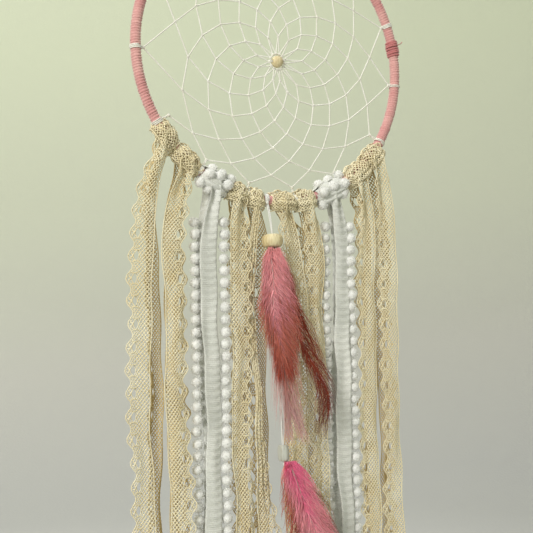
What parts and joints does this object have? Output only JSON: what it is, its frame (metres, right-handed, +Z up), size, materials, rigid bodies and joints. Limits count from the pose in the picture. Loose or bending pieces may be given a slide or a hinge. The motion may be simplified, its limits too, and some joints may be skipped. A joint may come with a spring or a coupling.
{
  "type": "dream catcher",
  "caption": "Dream catcher: yarn-wrapped hoop with a woven web and bead, knotted lace and pompom strips, and a beaded feather pendant.",
  "frame": {"origin": "centre of the nail or hook that carries the hanging loop", "axes": "+Z up, front faces -Y, +X to the right seen from the front"},
  "size_m": [0.2033, 0.0401, 0.5942],
  "materials": {
    "ring_metal": "satin",
    "yarn_pink": "satin",
    "thread_cream": "matt",
    "cord_cream": "matt",
    "bead_wood": "satin",
    "bead_pale": "satin",
    "lace_ecru": "matt",
    "tape_white": "matt",
    "pompom_white": "matt",
    "feather_pink": "matt",
    "feather_dusty": "matt",
    "feather_dark": "matt"
  },
  "bodies": {
    "hanging_loop": {"hanging_loop": "cord_cream"},
    "loop_knot": {"loop_knot": "cord_cream"},
    "top_hitch": {"top_hitch": "cord_cream"},
    "hoop": {"hoop_core": "ring_metal", "hoop_wrap": "yarn_pink", "web_thread": "thread_cream", "lace_knot_1": "lace_ecru", "lace_knot_2": "lace_ecru", "pompom_knot_3": "tape_white", "lace_knot_4": "lace_ecru", "lace_knot_5": "lace_ecru", "lace_knot_6": "lace_ecru", "lace_knot_7": "lace_ecru", "pompom_knot_8": "tape_white", "lace_knot_9": "lace_ecru", "lace_knot_10": "lace_ecru"},
    "web_bead": {"web_bead": "bead_wood"},
    "strip_1": {"lace_tail_1_front": "lace_ecru", "lace_tail_1_rear": "lace_ecru"},
    "strip_2": {"lace_tail_2_front": "lace_ecru", "lace_tail_2_rear": "lace_ecru"},
    "strip_3": {"pompom_tail_3_front": "tape_white", "pompom_tail_3_rear": "tape_white", "pompom_row_3_right": "pompom_white", "pompom_row_3_left": "pompom_white"},
    "strip_4": {"lace_tail_4_front": "lace_ecru", "lace_tail_4_rear": "lace_ecru"},
    "strip_5": {"lace_tail_5_front": "lace_ecru", "lace_tail_5_rear": "lace_ecru"},
    "strip_6": {"lace_tail_6_front": "lace_ecru", "lace_tail_6_rear": "lace_ecru"},
    "strip_7": {"lace_tail_7_front": "lace_ecru", "lace_tail_7_rear": "lace_ecru"},
    "strip_8": {"pompom_tail_8_front": "tape_white", "pompom_tail_8_rear": "tape_white", "pompom_row_8_right": "pompom_white", "pompom_row_8_left": "pompom_white"},
    "strip_9": {"lace_tail_9_front": "lace_ecru", "lace_tail_9_rear": "lace_ecru"},
    "strip_10": {"lace_tail_10_front": "lace_ecru", "lace_tail_10_rear": "lace_ecru"},
    "pendant_hitch": {"pendant_hitch": "thread_cream"},
    "pendant": {"pendant_cord": "thread_cream"},
    "upper_drop": {"upper_bead": "bead_wood", "upper_feather_front": "feather_pink", "upper_feather_middle": "feather_dusty", "upper_feather_rear": "feather_dark"},
    "lower_drop": {"lower_bead": "bead_pale", "lower_feather_front": "feather_pink", "lower_feather_middle": "feather_dusty", "lower_feather_rear": "feather_dark"}
  },
  "joints": [
    {"name": "hoop_twist", "type": "hinge", "parent": "hanging_loop", "child": "loop_knot", "pos_m": [0, 0, -0.0564], "axis": [0, 0, 1], "range_deg": [-90, 90]},
    {"name": "hoop_swing", "type": "hinge", "parent": "loop_knot", "child": "top_hitch", "pos_m": [0, 0, -0.062], "axis": [0, 1, 0], "range_deg": [-25, 25]},
    {"name": "hoop_tilt", "type": "hinge", "parent": "top_hitch", "child": "hoop", "pos_m": [0, 0, -0.0665], "axis": [1, 0, 0], "range_deg": [-30, 30]},
    {"name": "web_bead_spin", "type": "hinge", "parent": "hoop", "child": "web_bead", "pos_m": [0.0026, 0, -0.1651], "axis": [1, 0, 0], "continuous": true},
    {"name": "strip_1_swing", "type": "hinge", "parent": "hoop", "child": "strip_1", "pos_m": [-0.07656, 0, -0.22174], "axis": [-1, 0, 0], "range_deg": [-60, 60]},
    {"name": "strip_2_swing", "type": "hinge", "parent": "hoop", "child": "strip_2", "pos_m": [-0.06331, 0, -0.23583], "axis": [-1, 0, 0], "range_deg": [-60, 60]},
    {"name": "strip_3_swing", "type": "hinge", "parent": "hoop", "child": "strip_3", "pos_m": [-0.04441, 0, -0.24867], "axis": [-1, 0, 0], "range_deg": [-60, 60]},
    {"name": "strip_4_swing", "type": "hinge", "parent": "hoop", "child": "strip_4", "pos_m": [-0.02846, 0, -0.25521], "axis": [-1, 0, 0], "range_deg": [-60, 0]},
    {"name": "strip_5_swing", "type": "hinge", "parent": "hoop", "child": "strip_5", "pos_m": [-0.01559, 0, -0.25823], "axis": [-1, 0, 0], "range_deg": [-60, 0]},
    {"name": "strip_6_swing", "type": "hinge", "parent": "hoop", "child": "strip_6", "pos_m": [0.00438, 0, -0.2594], "axis": [-1, 0, 0], "range_deg": [-60, 0]},
    {"name": "strip_7_swing", "type": "hinge", "parent": "hoop", "child": "strip_7", "pos_m": [0.02089, 0, -0.25721], "axis": [-1, 0, 0], "range_deg": [-60, 0]},
    {"name": "strip_8_swing", "type": "hinge", "parent": "hoop", "child": "strip_8", "pos_m": [0.04124, 0, -0.25024], "axis": [-1, 0, 0], "range_deg": [-60, 0]},
    {"name": "strip_9_swing", "type": "hinge", "parent": "hoop", "child": "strip_9", "pos_m": [0.06203, 0, -0.23692], "axis": [-1, 0, 0], "range_deg": [-60, 60]},
    {"name": "strip_10_swing", "type": "hinge", "parent": "hoop", "child": "strip_10", "pos_m": [0.07457, 0, -0.22425], "axis": [-1, 0, 0], "range_deg": [-60, 60]},
    {"name": "pendant_swing", "type": "hinge", "parent": "hoop", "child": "pendant_hitch", "pos_m": [-0.00867, 0, -0.25911], "axis": [-0.996, 0, 0.0898], "range_deg": [0, 70]},
    {"name": "pendant_sway", "type": "hinge", "parent": "pendant_hitch", "child": "pendant", "pos_m": [-0.0087, -0.0044, -0.2616], "axis": [0, -1, 0], "range_deg": [-7, 7]},
    {"name": "upper_drop_turn", "type": "hinge", "parent": "pendant", "child": "upper_drop", "pos_m": [-0.0087, -0.01085, -0.28697], "axis": [0, -0.0752, -0.9972], "range_deg": [-8, 40]},
    {"name": "lower_drop_turn", "type": "hinge", "parent": "pendant", "child": "lower_drop", "pos_m": [-0.0087, -0.02101, -0.42159], "axis": [0, -0.0752, -0.9972], "range_deg": [-10, 60]}
  ]
}
